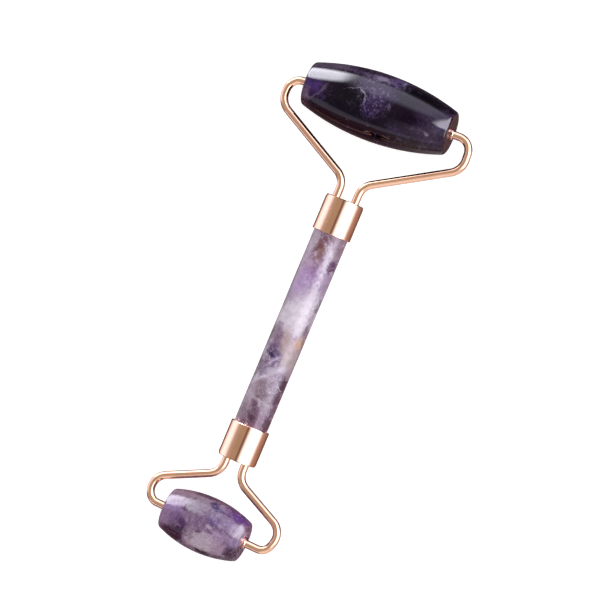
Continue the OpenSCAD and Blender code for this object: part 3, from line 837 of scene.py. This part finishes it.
def reflected_room(tree, toward):
    """What polished surfaces reflect: a dim tan room with soft white panels. Each mask goes from
    0 to 1 across an edge, given by its middle and the width over which it fades."""
    x, y, z = node(tree, "ShaderNodeSeparateXYZ", {0: toward}).outputs

    def above(value, edge, fade):
        return ramp_between(tree, value, edge - fade / 2, edge + fade / 2)

    def below(value, edge, fade):
        return ramp_between(tree, value, edge - fade / 2, edge + fade / 2, 1.0, 0.0)

    def every(*masks):
        product = masks[0]
        for mask in masks[1:]:
            product = calc(tree, "MULTIPLY", product, mask)
        return product

    def plus(value, factor, other):
        """value + factor * other"""
        return calc(tree, "MULTIPLY_ADD", other, factor, value)

    # Bare room: below and above the tool, at its sides and in front
    below_near, below_far = (0.20, 0.11, 0.13, 1), (0.12, 0.09, 0.12, 1)
    above_middle, above_ends = (0.46, 0.37, 0.28, 1), (0.34, 0.28, 0.27, 1)
    side_wall, front_wall = (1.1, 1.0, 1.0, 1), (0.92, 0.82, 0.74, 1)
    off_middle = calc(tree, "ABSOLUTE", y)
    low = mix(tree, above(y, 0.0, 0.4), below_near, below_far)
    high = mix(tree, above(off_middle, 0.45, 0.2), above_middle, above_ends)
    seen = mix(tree, above(z, -0.05, 0.2), low, high)
    seen = mix(tree, every(above(x, 0.3, 0.5), above(z, 0.1, 0.3)), seen, side_wall)
    seen = mix(tree, every(below(y, -0.35, 0.3), above(x, 0.0, 0.3)), seen, front_wall)

    # Square to the handle, the light that its ferrules show
    seen = mix(tree, below(off_middle, 0.34, 0.2), seen, light_round(tree, x, z))

    # A strong panel at the upper left beyond the large roller, and a dim one straight beyond it
    strong_panel, dim_panel = (28, 28, 29.5, 1), (3.5, 3.35, 4.0, 1)
    upper_left = every(
        below(plus(x, 0.17, z), -0.42, 0.15),
        above(y, 0.3, 0.1),
        above(plus(y, -1.4, x), 1.36, 0.2),
        above(plus(z, -0.6, x), 0.3, 0.3),
    )
    seen = mix(tree, upper_left, seen, strong_panel)
    middle = every(above(x, -0.45, 0.2), below(x, 0.27, 0.3))
    beyond = every(above(y, 0.56, 0.3), middle, above(plus(z, -0.25, x), 0.15, 0.2))
    seen = mix(tree, beyond, seen, dim_panel)

    # The window on the right, whose near part starts farther to the right
    window_light = (17, 17, 17.5, 1)
    nearer = calc(tree, "MINIMUM", calc(tree, "SUBTRACT", y, 0.3), 0.0)
    slanted = plus(x, 0.3, nearer)
    window = every(above(slanted, 0.3, 0.06), above(z, 0.05, 0.1), above(y, 0.14, 0.1))
    seen = mix(tree, window, seen, window_light)

    # A low bright strip in front
    strip_light = (1.5, 1.35, 1.6, 1)
    strip_foot = calc(tree, "MINIMUM", 0.25, plus(0.34, 0.5, x))
    over_foot = above(calc(tree, "SUBTRACT", z, strip_foot), 0.0, 0.04)
    strip = every(below(y, -0.7, 0.1), over_foot, below(z, 0.45, 0.12))
    return mix(tree, strip, seen, strip_light)


def studio():
    """A soft studio. The camera sees a white backdrop, matt surfaces are lit evenly and a little
    more from the upper right, and shiny ones reflect the room."""
    world = bpy.data.worlds.new("studio")
    bpy.context.scene.world = world
    world.use_nodes = True
    world.cycles.sampling_method = "NONE"
    tree = world.node_tree
    tree.nodes.clear()
    rays = node(tree, "ShaderNodeLightPath").outputs
    toward = node(tree, "ShaderNodeTexCoord").outputs["Generated"]

    facing = node(
        tree, "ShaderNodeVectorMath", {0: toward, 1: tuple(KEY_TOWARDS)}, operation="DOT_PRODUCT"
    ).outputs["Value"]
    soft = calc(tree, "MULTIPLY_ADD", calc(tree, "MAXIMUM", facing, 0.0), KEY_LIGHT, EVEN_LIGHT)

    # Singular rays come from the mirror-smooth wires: for them the panels are toned down, by
    # gain * room / (1 + room / knee), or the thin highlights would burn out
    room = reflected_room(tree, toward)
    glare = vector_calc(tree, "ADD", shade(tree, room, 1 / WIRE_KNEE), (1, 1, 1))
    dimmed = vector_calc(tree, "DIVIDE", shade(tree, room, WIRE_GAIN), glare)
    room = mix(tree, rays["Is Singular Ray"], room, dimmed)

    def background(light, strength):
        inputs = {"Color": light, "Strength": strength}
        return node(tree, "ShaderNodeBackground", inputs).outputs[0]

    lit = mix_shaders(tree, rays["Is Glossy Ray"], background(WHITE, soft), background(room, 1.0))
    lit = mix_shaders(tree, rays["Is Camera Ray"], lit, background(WHITE, BACKDROP_LIGHT))
    node(tree, "ShaderNodeOutputWorld", {"Surface": lit})


def table_material():
    """White, glowing a little, and clear from underneath."""
    material = bpy.data.materials.new("white_table")
    material.use_nodes = True
    tree = material.node_tree
    tree.nodes.clear()
    matt = node(tree, "ShaderNodeBsdfDiffuse", {"Color": FLOOR_GREY}).outputs[0]
    glow = node(tree, "ShaderNodeEmission", {"Color": WHITE, "Strength": FLOOR_GLOW}).outputs[0]
    lit = node(tree, "ShaderNodeAddShader", {0: matt, 1: glow}).outputs[0]
    clear = node(tree, "ShaderNodeBsdfTransparent").outputs[0]
    under = node(tree, "ShaderNodeNewGeometry").outputs["Backfacing"]
    node(tree, "ShaderNodeOutputMaterial", {"Surface": mix_shaders(tree, under, lit, clear)})
    return material


def pale_floor():
    """A plain table just under the large roller, which neither reflects nor lights the tool."""
    low, _ = cad_box
    reach = FLOOR_REACH
    mesh = bpy.data.meshes.new("floor")
    corners = [(-reach, -reach, 0), (reach, -reach, 0), (reach, reach, 0), (-reach, reach, 0)]
    mesh.from_pydata(corners, [], [(0, 1, 2, 3)])
    mesh.materials.append(table_material())
    floor = bpy.data.objects.new("floor", mesh)
    floor.location.z = low.z - FLOOR_GAP
    floor.visible_glossy = False
    floor.visible_diffuse = False
    bpy.context.scene.collection.objects.link(floor)


def photo_camera():
    """Looks down on the tool from 1 m, turned so that its large roller is at the upper right."""
    roll, pitch, lean = (math.radians(CAMERA_TURNS[turn]) for turn in ("roll", "pitch", "lean"))
    turn = Matrix.Rotation(roll, 3, "Z") @ Matrix.Rotation(pitch, 3, "X")
    turn = turn @ Matrix.Rotation(lean, 3, "Y")
    back = turn.transposed()
    camera = bpy.data.objects.new("camera", bpy.data.cameras.new("camera"))
    camera.data.sensor_width = SENSOR_MM
    camera.data.lens = LENS_MM
    camera.data.clip_start = 0.05
    camera.data.clip_end = 20
    offset = Vector(CAMERA_MM) * MM
    camera.matrix_world = Matrix.Translation(back @ offset) @ back.to_4x4()
    bpy.context.scene.collection.objects.link(camera)
    bpy.context.scene.camera = camera


dress_cad_nodes()
handle_piece(handle_stone())
roller_stone("large_roller_stone", "large_stone", "large_roller_spin", large_roller_stone())
roller_stone("small_roller_stone", "small_stone", "small_roller_spin", small_roller_stone())
studio()
pale_floor()
photo_camera()
bpy.context.scene.view_settings.view_transform = "Standard"

bpy.context.view_layer.update()
